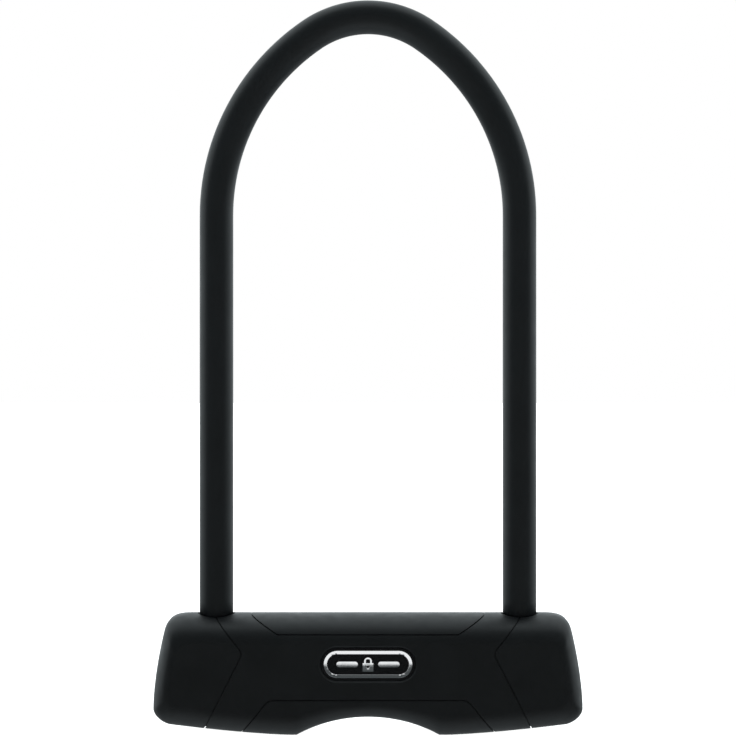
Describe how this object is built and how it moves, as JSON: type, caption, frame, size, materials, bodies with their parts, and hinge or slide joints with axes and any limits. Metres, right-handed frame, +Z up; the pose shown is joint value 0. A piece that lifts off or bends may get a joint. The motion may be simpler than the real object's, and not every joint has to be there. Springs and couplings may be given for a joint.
{
  "type": "u lock",
  "caption": "Bicycle U-lock: a black-sleeved round bow with a pointed arch, closed into a deep black lock body with a keyhole underneath and a plain chrome-rimmed badge.",
  "frame": {"origin": "Middle of the bounding box's bottom, on the plane that the lock body's foot stands on.", "axes": "+Z up along the bow's legs, +X to the right along the lock body, +Y to the back; the badge faces -Y."},
  "size_m": [0.1706, 0.032, 0.2924],
  "materials": {
    "black_vinyl": "smooth satin vinyl sleeve",
    "black_shell_plastic": "fine-grained matte moulding",
    "gloss_black": "gloss black",
    "chrome": "bright plated",
    "hardened_steel": "ground and hardened",
    "black_oxide_steel": "black oxide",
    "brass": "machined brass",
    "grey_nylon": "moulded nylon"
  },
  "bodies": {
    "lock_body": {"housing_tube": "black_oxide_steel", "thrust_washer": "brass", "cylinder_case": "brass", "drill_guard": "hardened_steel", "keyhole_bezel": "gloss_black", "shutter_pin": "hardened_steel", "shutter_spring": "hardened_steel", "centre_sleeve": "black_shell_plastic", "top_inlay": "black_shell_plastic", "foot_inlay": "black_shell_plastic", "badge_plate": "gloss_black", "badge_rim": "chrome", "badge_padlock": "chrome", "left_end_plug": "black_oxide_steel", "left_guide_block": "hardened_steel", "left_guide_pin": "hardened_steel", "left_plug_pin": "hardened_steel", "left_case_pin": "hardened_steel", "left_entry_bush": "grey_nylon", "left_end_cap": "black_shell_plastic", "left_badge_bar": "chrome", "right_end_plug": "black_oxide_steel", "right_guide_block": "hardened_steel", "right_guide_pin": "hardened_steel", "right_plug_pin": "hardened_steel", "right_case_pin": "hardened_steel", "right_entry_bush": "grey_nylon", "right_end_cap": "black_shell_plastic", "right_badge_bar": "chrome"},
    "shackle": {"shackle_bar": "hardened_steel", "shackle_sleeve": "black_vinyl"},
    "key_rotor": {"rotor": "brass", "disc_1": "brass", "disc_2": "brass", "disc_3": "brass", "disc_4": "brass", "disc_5": "brass", "disc_spacer_1": "hardened_steel", "disc_spacer_2": "hardened_steel", "disc_spacer_3": "hardened_steel", "disc_spacer_4": "hardened_steel", "sidebar": "hardened_steel", "cam_disc": "hardened_steel"},
    "left_bolt_slide": {"left_bolt": "hardened_steel", "left_drive_pin": "hardened_steel"},
    "right_bolt_slide": {"right_bolt": "hardened_steel", "right_drive_pin": "hardened_steel"},
    "keyhole_shutter": {"shutter_leaf": "black_oxide_steel"}
  },
  "joints": [
    {"name": "shackle_lift", "type": "slide", "parent": "lock_body", "child": "shackle", "axis": [0, 0, 1], "range_m": [0, 0.05]},
    {"name": "key_turn", "type": "hinge", "parent": "lock_body", "child": "key_rotor", "pos_m": [0, 0, 0.0154], "axis": [0, 0, 1], "range_deg": [0, 90]},
    {"name": "left_bolt_throw", "type": "slide", "parent": "lock_body", "child": "left_bolt_slide", "axis": [-1, 0, 0], "range_m": [0, 0.004]},
    {"name": "right_bolt_throw", "type": "slide", "parent": "lock_body", "child": "right_bolt_slide", "axis": [1, 0, 0], "range_m": [0, 0.004]},
    {"name": "shutter_swing", "type": "hinge", "parent": "lock_body", "child": "keyhole_shutter", "pos_m": [0, 0.003, 0.00915], "axis": [-1, 0, 0], "range_deg": [0, 80], "stiffness_Nm_per_rad": 0.0001, "springref_deg": -20.05}
  ],
  "couplings": [
    {"joint": "key_turn", "follows": "left_bolt_throw", "rad_per_m": 392.69},
    {"joint": "right_bolt_throw", "follows": "left_bolt_throw", "ratio": 1}
  ]
}
